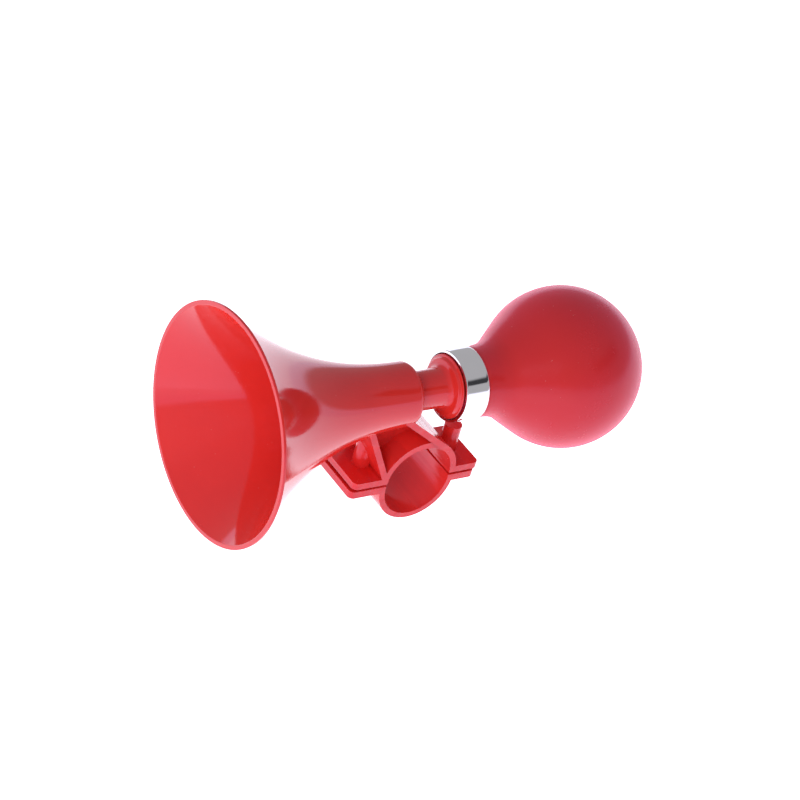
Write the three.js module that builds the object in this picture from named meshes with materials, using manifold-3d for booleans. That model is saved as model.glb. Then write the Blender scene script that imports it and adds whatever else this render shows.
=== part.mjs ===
// A child's bicycle horn with a squeeze bulb, clamped under the horn to a handlebar.
// Millimetres. The origin is the middle of the handlebar bore, +X runs along the horn from the
// mouth to the bulb, +Y along the handlebar and +Z up. The horn's axis is parallel to X.

import * as THREE from 'three';
import { mergeVertices } from 'three/addons/utils/BufferGeometryUtils.js';
import Module from 'manifold-3d';

// ---------- driving dimensions ----------

const GAP = 0.3;                 // kept between solids that touch on the real horn
const AXIS_HEIGHT = 27;          // horn axis above the handlebar bore
const MOUTH_X = -71.9;           // plane of the mouth

const MOUTH_RADIUS = 36;
const BELL_WALL = 1.0;
const BELL_LENGTH = 66.5;        // mouth to the end of the collar
const LIP_WIDTH = 0.9;           // cylindrical band round the mouth
const FLARE_POWER = 2.25;        // how late the flare opens out
const COLLAR_RADIUS = 9.8;
const COLLAR_ROUND = 2.2;        // radius of the collar's rear shoulder
const SOCKET_DEPTH = 10;         // how far the stem goes into the collar

const STEM_RADIUS = 6.0;
const STEM_BORE = 4.3;
const FILLET_RADIUS = 1.9;       // hollow fillet between the stem and the hub
const HUB_FRONT = 78.3;          // where the fillet meets the hub's face
const HUB_STEP_RADIUS = 8.9;
const HUB_RADIUS = 9.85;
const HUB_REAR = 80.0;
const SPIGOT_RADIUS = 8.3;
const SPIGOT_END = 94;
const REED_SEAT_RADIUS = 5.4;
const REED_SEAT_START = 83;

const FERRULE_FRONT = 80.2;
const FERRULE_REAR = 88.6;
const FERRULE_RADIUS = 11.05;         // at its front edge
const FERRULE_REAR_RADIUS = 11.3;     // the neck of the bulb spreads it a little
const FERRULE_WALL = 0.6;
const FERRULE_LIP_RADIUS = 10.15;  // hole in the lip that is turned in at the front

const BULB_CENTRE = 123.1;
const BULB_RADIUS = 25.2;
const BULB_WALL = 2.2;
const NECK_FRONT = 81.4;
const NECK_RADIUS = 10.1;          // squeezed under the ferrule
const NECK_BORE = 8.6;
// Outside of the neck behind the ferrule, as [distance from the mouth, radius].
const NECK_CURVE = [[89.4, 10.85], [92, 10.95], [95, 11.45], [98, 12.75], [102, 15.7], [108, 20.2]];

const BLOCK_COLLAR_RADIUS = 5.1;
const BLOCK_COLLAR_START = 87;
const BLOCK_COLLAR_END = 93.6;
const BED_RADIUS = 3.5;
const BED_LENGTH = 12;
const BED_FLAT = 0.9;              // height of the reed bed's flat above the horn axis
const BED_SLOT_WIDTH = 2.4;
const BLOCK_BORE = 1.7;
const TONGUE_THICKNESS = 0.3;
const TONGUE_WIDTH = 3.6;
const TONGUE_LIFT = 0.35;          // air gap under the tongue
const CLIP_LENGTH = 2.2;
const CLIP_WALL = 0.9;

const CLAMP_DEPTH = 18.8;          // along the handlebar
const BORE_RADIUS = 11.3;
const SADDLE_BORE_HEIGHT = 0.7;    // centre of the saddle's half of the bore
const STRAP_BORE_HEIGHT = -1.2;
const ARCH_WALL = 2.0;
const STRAP_WALL = 1.9;
const SADDLE_FLANGE = { left: -23.4, right: 21.9, bottom: 0.5, top: 2.7 };
const STRAP_FLANGE = { left: -24.0, right: 21.3, bottom: -2.8, top: -0.3 };
const FLANGE_CORNER = 1.8;
const WEB_THICKNESS = 2.0;
const PANEL_THICKNESS = 3.2;
const MOUTH_WEB_TOP = [-23.4, 23.4];   // centre line of the web nearer the mouth
const MOUTH_WEB_FOOT = [-12.6, 2.6];
const BULB_WEB_ANGLE = 54;             // where the other web leaves the arch, in degrees
const BULB_WEB_LENGTH = 27;

const SCREW_X = 15.8;
const BOSS_RADIUS = 2.9;
const BOSS_TIP_RADIUS = 2.75;
const BOSS_TOP = 11.5;
const PILOT_RADIUS = 1.75;
const PILOT_TOP = 10.1;
const SCREW_RADIUS = 1.45;
const SCREW_TIP = 9.2;
const SCREW_POINT = 1.6;
const HEAD_RADIUS = 2.45;
const HEAD_HEIGHT = 1.9;
const HEAD_TOP = STRAP_FLANGE.bottom - 0.1;
const RECESS_DEPTH = 1.1;
const RECESS_WIDTH = 0.8;
const RECESS_SPAN = 2.8;

const BELL_SEGMENTS = 48;
const ROUND_SEGMENTS = 36;
const ARCH_SEGMENTS = 48;
const SMALL_SEGMENTS = 20;
const FLARE_STEPS = 11;

// ---------- materials ----------

const finish = (color, roughness, metalness) =>
  new THREE.MeshStandardMaterial({ color, roughness, metalness });
const redPlastic = finish(0xd5342e, 0.25, 0);
const redRubber = finish(0xc62f3a, 0.45, 0);
const chrome = finish(0xd9dcdf, 0.08, 1);
const brass = finish(0xc9a24a, 0.3, 1);
const zincSteel = finish(0xb4b7ba, 0.35, 1);
const whitePlastic = finish(0xe6e2d6, 0.45, 0);

// ---------- solids ----------

const wasm = await Module();
wasm.setup();

function toSolid(geometry) {
  const bare = geometry.clone();
  bare.deleteAttribute('normal');
  bare.deleteAttribute('uv');
  const merged = mergeVertices(bare, 1e-4);
  return new wasm.Manifold(new wasm.Mesh({
    numProp: 3,
    vertProperties: new Float32Array(merged.attributes.position.array),
    triVerts: new Uint32Array(merged.index.array),
  }));
}

function toGeometry(solid) {
  const mesh = solid.getMesh();
  const geometry = new THREE.BufferGeometry();
  geometry.setAttribute('position', new THREE.BufferAttribute(mesh.vertProperties, 3));
  geometry.setIndex(new THREE.BufferAttribute(mesh.triVerts, 1));
  return geometry;
}

const join = (solids) => solids.reduce((whole, next) => whole.add(next));
const cut = (solid, tools) => tools.reduce((left, tool) => left.subtract(tool), solid);

// Turns a profile of [distance from the mouth, radius] round the horn's axis.
function turned(profile, segments) {
  const points = profile.map(([distance, radius]) => new THREE.Vector2(radius, distance));
  const geometry = new THREE.LatheGeometry(points, segments);
  geometry.rotateZ(-Math.PI / 2);
  geometry.translate(MOUTH_X, 0, AXIS_HEIGHT);
  return geometry;
}

// Turns a closed profile of [radius, height] round a vertical line at x.
function turnedUpright(profile, x, segments) {
  const points = profile.map(([radius, height]) => new THREE.Vector2(radius, height));
  const geometry = new THREE.LatheGeometry(points, segments);
  geometry.rotateX(Math.PI / 2);
  geometry.translate(x, 0, 0);
  return geometry;
}

// Extrudes an outline in the X-Z plane along the handlebar, centred on Y = 0.
function alongBar(shape, depth, curveSegments = 12) {
  const geometry = new THREE.ExtrudeGeometry(shape, { depth, bevelEnabled: false, curveSegments });
  geometry.rotateX(Math.PI / 2);
  geometry.translate(0, depth / 2, 0);
  return geometry;
}

function barCylinder(radius, height, depth, segments) {
  const geometry = new THREE.CylinderGeometry(radius, radius, depth, segments);
  geometry.translate(0, 0, height);
  return toSolid(geometry);
}

function block(x0, x1, y0, y1, z0, z1) {
  const geometry = new THREE.BoxGeometry(x1 - x0, y1 - y0, z1 - z0);
  geometry.translate((x0 + x1) / 2, (y0 + y1) / 2, (z0 + z1) / 2);
  return toSolid(geometry);
}

function uprightCylinder(radius, x, z0, z1) {
  return toSolid(turnedUpright([[0, z0], [radius, z0], [radius, z1], [0, z1]], x, SMALL_SEGMENTS));
}

// Points on a smooth curve through [distance, radius] pairs.
function smooth(pairs, count) {
  const curve = new THREE.SplineCurve(pairs.map(([d, r]) => new THREE.Vector2(d, r)));
  return curve.getPoints(count).map((p) => [p.x, p.y]);
}

// Points on an arc in the [distance, radius] plane, angles in degrees.
function arc(distance, radius, size, from, to, count) {
  const points = [];
  for (let i = 0; i <= count; i += 1) {
    const angle = THREE.MathUtils.degToRad(from + (to - from) * (i / count));
    points.push([distance + size * Math.cos(angle), radius + size * Math.sin(angle)]);
  }
  return points;
}

// ---------- bell ----------

// The flare: a power curve that opens out from the collar to the mouth.
function flare() {
  const points = [];
  for (let i = 0; i <= FLARE_STEPS; i += 1) {
    const distance = LIP_WIDTH + (BELL_LENGTH - COLLAR_ROUND - LIP_WIDTH) * (i / FLARE_STEPS);
    const opening = (1 - distance / BELL_LENGTH) ** FLARE_POWER;
    points.push([distance, COLLAR_RADIUS + (MOUTH_RADIUS - COLLAR_RADIUS) * opening]);
  }
  return points;
}

function bellOutside() {
  const end = BELL_LENGTH - COLLAR_ROUND;
  return [
    [0, MOUTH_RADIUS], [LIP_WIDTH, MOUTH_RADIUS],
    ...flare(),
    ...arc(end, COLLAR_RADIUS - COLLAR_ROUND, COLLAR_ROUND, 72, 0, 4),
  ];
}

// The flare moved inwards by the wall, along its own normal.
function bellInside(socketStart) {
  const outside = flare();
  const inside = [[0, MOUTH_RADIUS - BELL_WALL]];
  for (let i = 1; i < outside.length - 1; i += 1) {
    const along = new THREE.Vector2(outside[i + 1][0] - outside[i - 1][0],
      outside[i + 1][1] - outside[i - 1][1]).normalize();
    const distance = outside[i][0] + along.y * BELL_WALL;
    const radius = outside[i][1] - along.x * BELL_WALL;
    if (distance > LIP_WIDTH && distance < socketStart - 1) inside.push([distance, radius]);
  }
  return inside;
}

function makeBell() {
  const socketStart = BELL_LENGTH - SOCKET_DEPTH;
  const socket = STEM_RADIUS + GAP;
  const profile = [
    ...bellOutside(),
    [BELL_LENGTH, socket], [socketStart, socket], [socketStart, COLLAR_RADIUS - BELL_WALL - 0.4],
    ...bellInside(socketStart).reverse(),
    [0, MOUTH_RADIUS],
  ];
  return turned(profile, BELL_SEGMENTS);
}

// The bell's outer form as a solid, a little larger, to trim what meets it.
function bellTrimmer() {
  const profile = bellOutside().map(([d, r]) => [d, r + GAP]);
  return toSolid(turned([[0, 0], ...profile, [BELL_LENGTH, 0]], BELL_SEGMENTS));
}

function stemTrimmer() {
  const radius = STEM_RADIUS + GAP;
  return toSolid(turned([[0, 0], [0, radius], [HUB_FRONT, radius], [HUB_FRONT, 0]], ROUND_SEGMENTS));
}

// ---------- stem, ferrule and bulb ----------

function makeStem() {
  const front = BELL_LENGTH - SOCKET_DEPTH + GAP;
  const profile = [
    [front, STEM_BORE], [front, STEM_RADIUS],
    [HUB_FRONT - FILLET_RADIUS, STEM_RADIUS + 0.1],
    ...arc(HUB_FRONT - FILLET_RADIUS, STEM_RADIUS + 0.1 + FILLET_RADIUS, FILLET_RADIUS, -70, 0, 4),
    [HUB_FRONT + 0.4, HUB_STEP_RADIUS], [HUB_FRONT + 0.9, HUB_STEP_RADIUS + 0.1],
    [HUB_FRONT + 1.2, HUB_RADIUS - 0.2], [HUB_FRONT + 1.4, HUB_RADIUS], [HUB_REAR, HUB_RADIUS],
    [HUB_REAR, SPIGOT_RADIUS], [SPIGOT_END, SPIGOT_RADIUS],
    [SPIGOT_END, REED_SEAT_RADIUS], [REED_SEAT_START, REED_SEAT_RADIUS],
    [REED_SEAT_START, STEM_BORE], [front, STEM_BORE],
  ];
  return turned(profile, ROUND_SEGMENTS);
}

function makeFerrule() {
  const frontInside = FERRULE_RADIUS - FERRULE_WALL;
  const rearInside = FERRULE_REAR_RADIUS - FERRULE_WALL;
  const round = 0.45;
  const profile = [
    [FERRULE_FRONT, FERRULE_LIP_RADIUS], [FERRULE_FRONT, FERRULE_RADIUS - round],
    ...arc(FERRULE_FRONT + round, FERRULE_RADIUS - round, round, 135, 90, 1),
    ...arc(FERRULE_REAR - round, FERRULE_REAR_RADIUS - round, round, 90, 0, 2),
    [FERRULE_REAR, rearInside], [FERRULE_FRONT + FERRULE_WALL, frontInside],
    [FERRULE_FRONT + FERRULE_WALL, FERRULE_LIP_RADIUS], [FERRULE_FRONT, FERRULE_LIP_RADIUS],
  ];
  return turned(profile, ROUND_SEGMENTS);
}

function makeBulb() {
  const joinAngle = THREE.MathUtils.radToDeg(Math.acos((108 - BULB_CENTRE) / BULB_RADIUS));
  const innerRadius = BULB_RADIUS - BULB_WALL;
  const outside = [
    [NECK_FRONT, NECK_BORE], [NECK_FRONT, NECK_RADIUS], [FERRULE_REAR - 0.6, NECK_RADIUS],
    ...smooth(NECK_CURVE, 7),
    ...arc(BULB_CENTRE, 0, BULB_RADIUS, joinAngle - 11, 0, 10),
  ];
  outside[outside.length - 1][1] = 0;
  const inside = [
    ...arc(BULB_CENTRE, 0, innerRadius, 0, joinAngle, 7),
    [99.5, 11.0], [95, 9.0], [92, NECK_BORE], [NECK_FRONT, NECK_BORE],
  ];
  inside[0][1] = 0;
  return turned([...outside, ...inside], ROUND_SEGMENTS);
}

// ---------- reed ----------

function makeReedBlock() {
  const collar = toSolid(turned([
    [BLOCK_COLLAR_START, 0], [BLOCK_COLLAR_START, BLOCK_COLLAR_RADIUS],
    [BLOCK_COLLAR_END, BLOCK_COLLAR_RADIUS], [BLOCK_COLLAR_END, 0]], 24));
  const bedEnd = BLOCK_COLLAR_END + BED_LENGTH;
  const bed = toSolid(turned([
    [BLOCK_COLLAR_END - 1, 0], [BLOCK_COLLAR_END - 1, BED_RADIUS],
    [bedEnd - 1, BED_RADIUS], [bedEnd, BED_RADIUS - 1], [bedEnd, 0]], 24));
  const bore = toSolid(turned([
    [BLOCK_COLLAR_START - 1, 0], [BLOCK_COLLAR_START - 1, BLOCK_BORE],
    [bedEnd - 2, BLOCK_BORE], [bedEnd - 2, 0]], 16));
  const flatZ = AXIS_HEIGHT + BED_FLAT;
  const start = MOUTH_X + BLOCK_COLLAR_END;
  const end = MOUTH_X + bedEnd;
  const top = AXIS_HEIGHT + BED_RADIUS + 1;
  const aboveBed = block(start, end + 1, -BED_RADIUS - 1, BED_RADIUS + 1, flatZ, top);
  const half = BED_SLOT_WIDTH / 2;
  const slot = block(start + CLIP_LENGTH + 0.8, end - 2, -half, half, AXIS_HEIGHT, top);
  return toGeometry(cut(join([collar, bed]), [aboveBed, bore, slot]));
}

function tongueBottom() {
  return AXIS_HEIGHT + BED_FLAT + TONGUE_LIFT;
}

function makeReedTongue() {
  const start = MOUTH_X + BLOCK_COLLAR_END + GAP;
  const end = MOUTH_X + BLOCK_COLLAR_END + BED_LENGTH - 0.8;
  const bottom = tongueBottom();
  const top = bottom + TONGUE_THICKNESS;
  const curl = 0.5;              // the free end stands off the bed
  const shape = new THREE.Shape();
  shape.moveTo(start, bottom);
  shape.lineTo(start + CLIP_LENGTH + 1, bottom);
  shape.quadraticCurveTo((start + end) / 2, bottom, end, bottom + curl);
  shape.lineTo(end, top + curl);
  shape.quadraticCurveTo((start + end) / 2, top, start + CLIP_LENGTH + 1, top);
  shape.lineTo(start, top);
  return alongBar(shape, TONGUE_WIDTH, 6);
}

function makeReedClip() {
  const outer = BED_RADIUS + GAP + CLIP_WALL;
  const start = BLOCK_COLLAR_END + GAP;
  const sleeve = toSolid(turned([
    [start, 0], [start, outer], [start + CLIP_LENGTH, outer], [start + CLIP_LENGTH, 0]], 24));
  const hole = toSolid(turned([
    [start - 1, 0], [start - 1, BED_RADIUS + GAP],
    [start + CLIP_LENGTH + 1, BED_RADIUS + GAP], [start + CLIP_LENGTH + 1, 0]], 24));
  const roof = block(MOUTH_X + start, MOUTH_X + start + CLIP_LENGTH, -outer, outer,
    tongueBottom() + TONGUE_THICKNESS + 0.1, AXIS_HEIGHT + outer);
  return toGeometry(sleeve.subtract(hole.subtract(roof)));
}

// ---------- clamp ----------

function roundedPlate(plate) {
  const half = CLAMP_DEPTH / 2;
  const { left, right, bottom, top } = plate;
  const shape = new THREE.Shape();
  shape.moveTo(left + FLANGE_CORNER, -half);
  shape.lineTo(right - FLANGE_CORNER, -half);
  shape.absarc(right - FLANGE_CORNER, -half + FLANGE_CORNER, FLANGE_CORNER, -Math.PI / 2, 0);
  shape.absarc(right - FLANGE_CORNER, half - FLANGE_CORNER, FLANGE_CORNER, 0, Math.PI / 2);
  shape.absarc(left + FLANGE_CORNER, half - FLANGE_CORNER, FLANGE_CORNER, Math.PI / 2, Math.PI);
  shape.absarc(left + FLANGE_CORNER, -half + FLANGE_CORNER, FLANGE_CORNER, Math.PI, 1.5 * Math.PI);
  const geometry = new THREE.ExtrudeGeometry(shape,
    { depth: top - bottom, bevelEnabled: false, curveSegments: 3 });
  geometry.translate(0, 0, bottom);
  return toSolid(geometry);
}

// A flat bar between two points of the X-Z plane.
function bar([x0, z0], [x1, z1], thickness, depth) {
  const length = Math.hypot(x1 - x0, z1 - z0);
  const geometry = new THREE.BoxGeometry(length, depth, thickness);
  geometry.rotateY(-Math.atan2(z1 - z0, x1 - x0));
  geometry.translate((x0 + x1) / 2, 0, (z0 + z1) / 2);
  return toSolid(geometry);
}

// Centre line of the web that runs off the arch at a tangent, from its foot to its top.
function bulbWebLine() {
  const angle = THREE.MathUtils.degToRad(BULB_WEB_ANGLE);
  const size = BORE_RADIUS + ARCH_WALL - WEB_THICKNESS / 2;
  const foot = [size * Math.cos(angle), SADDLE_BORE_HEIGHT + size * Math.sin(angle)];
  const top = [foot[0] - BULB_WEB_LENGTH * Math.sin(angle),
    foot[1] + BULB_WEB_LENGTH * Math.cos(angle)];
  return [foot, top];
}

function middlePanel() {
  const [foot, top] = bulbWebLine();
  const shape = new THREE.Shape();
  shape.moveTo(...MOUTH_WEB_FOOT);
  shape.lineTo(...foot);
  shape.lineTo(...top);
  shape.lineTo(...MOUTH_WEB_TOP);
  return toSolid(alongBar(shape, PANEL_THICKNESS));
}

function boss(x) {
  const profile = [[0, SADDLE_FLANGE.bottom], [BOSS_RADIUS, SADDLE_FLANGE.bottom],
    [BOSS_TIP_RADIUS, BOSS_TOP], [0, BOSS_TOP]];
  return toSolid(turnedUpright(profile, x, SMALL_SEGMENTS));
}

function makeClampSaddle() {
  const arch = barCylinder(BORE_RADIUS + ARCH_WALL, SADDLE_BORE_HEIGHT, CLAMP_DEPTH, ARCH_SEGMENTS);
  const [foot, top] = bulbWebLine();
  const body = join([
    arch,
    roundedPlate(SADDLE_FLANGE),
    bar(MOUTH_WEB_FOOT, MOUTH_WEB_TOP, WEB_THICKNESS, CLAMP_DEPTH),
    bar(foot, top, WEB_THICKNESS, CLAMP_DEPTH),
    middlePanel(),
    boss(-SCREW_X),
    boss(SCREW_X),
  ]);
  const wide = CLAMP_DEPTH;
  return toGeometry(cut(body, [
    bellTrimmer(),
    stemTrimmer(),
    barCylinder(BORE_RADIUS, SADDLE_BORE_HEIGHT, 2 * wide, ARCH_SEGMENTS),
    block(-3 * wide, 3 * wide, -wide, wide, -2 * wide, SADDLE_FLANGE.bottom),
    uprightCylinder(PILOT_RADIUS, -SCREW_X, -1, PILOT_TOP),
    uprightCylinder(PILOT_RADIUS, SCREW_X, -1, PILOT_TOP),
  ]));
}

function makeClampStrap() {
  const ring = barCylinder(BORE_RADIUS + STRAP_WALL, STRAP_BORE_HEIGHT, CLAMP_DEPTH, ARCH_SEGMENTS);
  const wide = CLAMP_DEPTH;
  return toGeometry(cut(join([ring, roundedPlate(STRAP_FLANGE)]), [
    barCylinder(BORE_RADIUS, STRAP_BORE_HEIGHT, 2 * wide, ARCH_SEGMENTS),
    block(-BORE_RADIUS, BORE_RADIUS, -wide, wide, STRAP_BORE_HEIGHT, wide),
    block(-3 * wide, 3 * wide, -wide, wide, STRAP_FLANGE.top, 2 * wide),
    uprightCylinder(PILOT_RADIUS, -SCREW_X, -wide, wide),
    uprightCylinder(PILOT_RADIUS, SCREW_X, -wide, wide),
  ]));
}

function makeScrew(x) {
  const bottom = HEAD_TOP - HEAD_HEIGHT;
  const body = toSolid(turnedUpright([
    [0, bottom], [HEAD_RADIUS * 0.55, bottom], [HEAD_RADIUS * 0.88, bottom + 0.5],
    [HEAD_RADIUS, bottom + 1.2], [HEAD_RADIUS, HEAD_TOP], [SCREW_RADIUS, HEAD_TOP],
    [SCREW_RADIUS, SCREW_TIP - SCREW_POINT], [0.3, SCREW_TIP], [0, SCREW_TIP],
  ], x, SMALL_SEGMENTS));
  const across = RECESS_SPAN / 2;
  const narrow = RECESS_WIDTH / 2;
  const floor = bottom + RECESS_DEPTH;
  return toGeometry(cut(body, [
    block(x - across, x + across, -narrow, narrow, bottom - 1, floor),
    block(x - narrow, x + narrow, -across, across, bottom - 1, floor),
  ]));
}

// ---------- the horn ----------

const horn = new THREE.Group();

function place(name, geometry, material) {
  const mesh = new THREE.Mesh(geometry, material);
  mesh.name = name;
  horn.add(mesh);
}

place('bell', makeBell(), redPlastic);
place('clamp_saddle', makeClampSaddle(), redPlastic);
place('clamp_strap', makeClampStrap(), redPlastic);
place('mouth_side_screw', makeScrew(-SCREW_X), zincSteel);
place('bulb_side_screw', makeScrew(SCREW_X), zincSteel);
place('stem', makeStem(), redPlastic);
place('ferrule', makeFerrule(), chrome);
place('bulb', makeBulb(), redRubber);
place('reed_block', makeReedBlock(), whitePlastic);
place('reed_tongue', makeReedTongue(), brass);
place('reed_clip', makeReedClip(), brass);

export default horn;
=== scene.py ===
# %% [markdown]
# # A child's bicycle horn with a squeeze bulb
#
# The horn is a flared red plastic bell on a short stem, a soft red bulb that is held on by a bright
# ring, and a two-part clamp for the handlebar. The working model is loaded first as a fixed frame.
# Every piece made here takes its place from that frame, so nothing has to be fitted afterwards.

# %% Load the fixed frame
import math

import bmesh
import bpy
from mathutils import Matrix, Vector
from mathutils import noise as solid_noise


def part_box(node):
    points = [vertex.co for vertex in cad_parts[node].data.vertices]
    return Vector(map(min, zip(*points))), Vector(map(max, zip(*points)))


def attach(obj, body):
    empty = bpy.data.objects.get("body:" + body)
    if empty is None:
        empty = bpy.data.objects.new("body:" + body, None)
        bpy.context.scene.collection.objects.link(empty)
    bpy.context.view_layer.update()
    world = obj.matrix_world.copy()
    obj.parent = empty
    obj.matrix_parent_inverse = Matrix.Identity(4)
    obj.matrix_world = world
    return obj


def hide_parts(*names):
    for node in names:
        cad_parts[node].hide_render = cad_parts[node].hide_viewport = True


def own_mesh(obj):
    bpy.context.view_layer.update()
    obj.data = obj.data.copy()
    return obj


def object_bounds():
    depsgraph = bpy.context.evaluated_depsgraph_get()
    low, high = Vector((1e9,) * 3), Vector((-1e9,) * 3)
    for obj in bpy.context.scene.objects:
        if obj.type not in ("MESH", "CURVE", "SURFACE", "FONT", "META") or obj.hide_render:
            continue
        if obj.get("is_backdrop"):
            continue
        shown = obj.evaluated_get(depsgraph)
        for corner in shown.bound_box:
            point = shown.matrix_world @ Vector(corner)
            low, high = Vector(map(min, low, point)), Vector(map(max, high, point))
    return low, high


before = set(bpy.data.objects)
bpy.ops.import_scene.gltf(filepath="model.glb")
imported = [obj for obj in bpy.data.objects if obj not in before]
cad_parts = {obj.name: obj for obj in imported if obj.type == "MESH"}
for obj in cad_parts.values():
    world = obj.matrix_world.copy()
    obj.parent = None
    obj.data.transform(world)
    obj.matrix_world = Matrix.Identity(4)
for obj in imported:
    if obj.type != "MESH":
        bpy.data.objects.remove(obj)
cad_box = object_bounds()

# %% [markdown]
# ## Where things are
#
# The horn is turned about one line, so two numbers place almost everything: the height of that line
# and the plane of the mouth. Both are read from the frame. Sizes along the horn are then given in
# millimetres behind the mouth, as they would be on a lathe drawing.

# %% Read the horn's line and its main sizes
MM = 0.001
bell_low, bell_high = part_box("bell")
bulb_low, bulb_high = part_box("bulb")
MOUTH_X = bell_low.x
AXIS_Z = (bell_low.z + bell_high.z) / 2
MOUTH_RADIUS = (bell_high.z - bell_low.z) / 2
BELL_LENGTH = bell_high.x - bell_low.x
BULB_RADIUS = (bulb_high.y - bulb_low.y) / 2
BULB_CENTRE_X = bulb_high.x - BULB_RADIUS


def behind_mouth(x):
    """A place along X as a distance behind the mouth."""
    return x - MOUTH_X


print(f"mouth radius {MOUTH_RADIUS / MM:.1f} mm, bell {BELL_LENGTH / MM:.1f} mm long,"
      f" bulb radius {BULB_RADIUS / MM:.1f} mm")

# %% [markdown]
# ## Camera
#
# The horn is seen from in front of the mouth, from above and from the left, through a long lens that
# keeps the mouth and the bulb in proportion. The camera is placed on a ball round an aim point by
# its azimuth, elevation and distance, and then rolled, so that the horn looks tipped.

# %% Camera on a ball round the aim point
AIM = Vector((-0.0131, -0.0060, 0.0301))
AZIMUTH, ELEVATION, ROLL = (math.radians(a) for a in (-41.58, 34.08, 16.66))
CAMERA_DISTANCE = 0.88
LENS_MM = 135
SENSOR_MM = 36

toward_camera = Vector((
    math.sin(AZIMUTH) * math.cos(ELEVATION),
    -math.cos(AZIMUTH) * math.cos(ELEVATION),
    math.sin(ELEVATION),
))
camera_data = bpy.data.cameras.new("camera")
camera_data.lens = LENS_MM
camera_data.sensor_width = SENSOR_MM
camera = bpy.data.objects.new("camera", camera_data)
bpy.context.scene.collection.objects.link(camera)
look = toward_camera.to_track_quat("Z", "Y").to_matrix().to_4x4()
camera.matrix_world = (
    Matrix.Translation(AIM + toward_camera * CAMERA_DISTANCE) @ look @ Matrix.Rotation(ROLL, 4, "Z")
)
bpy.context.scene.camera = camera
print("camera at", [round(c, 3) for c in camera.matrix_world.translation])

# %% [markdown]
# ## Light
#
# The horn stands over a light table, in front of a white backdrop. Both reflect at a glancing angle
# in glossy plastic, which gives the pale veils along its edges. Higher up the room is grey, and one
# dark opening on the bulb's side puts the black band on the chrome and the deep red down the middle
# of the stem. A world shader makes all of it from the direction alone: how high it points, and how
# far round it is from the middle of the opening. It lights matt surfaces less than it shows in
# reflections, and the camera itself sees plain white behind the horn.

# %% White table and backdrop, grey room, dark opening
OPENING_AZIMUTH = math.radians(40)
OPENING_SIDES = (0.86, 0.93)    # cosines round the opening's middle between which it darkens
OPENING_SILL = (0.42, 0.47)     # heights of a unit direction between which it darkens
OPENING_TOP = (0.68, 0.58)      # and heights between which it lightens again
ROOM_HEIGHT = (0.05, 0.13)      # heights between which the white backdrop turns to grey room
TENT_WHITE = (1.40, 1.38, 1.66, 1)
ROOM_DARK = (0.05, 0.05, 0.055, 1)
ROOM_GREY = (0.50, 0.49, 0.51, 1)
BEHIND_WHITE = (1.0, 1.0, 1.0, 1)
TENT_STRENGTH, TENT_DIFFUSE = 1.0, 0.72     # as reflected, and as it lights matt surfaces

world = bpy.data.worlds.new("tent")
world.use_nodes = True
bpy.context.scene.world = world
nodes, links = world.node_tree.nodes, world.node_tree.links
nodes.clear()


def world_step(socket, limits):
    """A soft step from 0 to 1 between two limits."""
    node = nodes.new("ShaderNodeMapRange")
    node.interpolation_type = "SMOOTHSTEP"
    node.inputs["From Min"].default_value, node.inputs["From Max"].default_value = limits
    links.new(socket, node.inputs["Value"])
    return node.outputs["Result"]


def world_mix(share, first, second):
    """A mix of two colours, each a socket or four numbers."""
    node = nodes.new("ShaderNodeMix")
    node.data_type = "RGBA"
    links.new(share, node.inputs["Factor"])
    for name, colour in (("A", first), ("B", second)):
        if isinstance(colour, tuple):
            node.inputs[name].default_value = colour
        else:
            links.new(colour, node.inputs[name])
    return node.outputs["Result"]


direction = nodes.new("ShaderNodeTexCoord").outputs["Generated"]
split = nodes.new("ShaderNodeSeparateXYZ")
links.new(direction, split.inputs[0])
flat = nodes.new("ShaderNodeVectorMath")
flat.operation = "MULTIPLY"
flat.inputs[1].default_value = (1, 1, 0)
links.new(direction, flat.inputs[0])
level = nodes.new("ShaderNodeVectorMath")
level.operation = "NORMALIZE"
links.new(flat.outputs[0], level.inputs[0])
facing = nodes.new("ShaderNodeVectorMath")
facing.operation = "DOT_PRODUCT"
facing.inputs[1].default_value = (math.sin(OPENING_AZIMUTH), -math.cos(OPENING_AZIMUTH), 0)
links.new(level.outputs[0], facing.inputs[0])
opening = nodes.new("ShaderNodeVectorMath")
opening.operation = "MULTIPLY"
for socket, limits, number in (("Value", OPENING_SIDES, 0), ("Z", OPENING_SILL, 1)):
    source = facing if socket == "Value" else split
    links.new(world_step(source.outputs[socket], limits), opening.inputs[number])
lintel = nodes.new("ShaderNodeMath")
lintel.operation = "MULTIPLY"
links.new(opening.outputs[0], lintel.inputs[0])
links.new(world_step(split.outputs["Z"], OPENING_TOP), lintel.inputs[1])
tent = world_mix(world_step(split.outputs["Z"], ROOM_HEIGHT), TENT_WHITE, ROOM_GREY)
tent = world_mix(lintel.outputs[0], tent, ROOM_DARK)
seen = nodes.new("ShaderNodeLightPath").outputs
background = nodes.new("ShaderNodeBackground")
dimmer = nodes.new("ShaderNodeMapRange")
dimmer.inputs["To Min"].default_value = TENT_STRENGTH
dimmer.inputs["To Max"].default_value = TENT_DIFFUSE
links.new(seen["Is Diffuse Ray"], dimmer.inputs["Value"])
links.new(dimmer.outputs["Result"], background.inputs["Strength"])
links.new(world_mix(seen["Is Camera Ray"], tent, BEHIND_WHITE), background.inputs["Color"])
output = nodes.new("ShaderNodeOutputWorld")
links.new(background.outputs["Background"], output.inputs["Surface"])
bpy.context.scene.view_settings.view_transform = "Standard"
print("tent of", len(nodes), "nodes")

# %% [markdown]
# ## Floor
#
# The floor is a plain white sheet well below the horn. It glows like a light table, so that it stays
# as white as the tent, shows no shadow and lights the underside of the bell and the bulb. From below
# it is clear, so the underside can be looked at through it.

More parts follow.
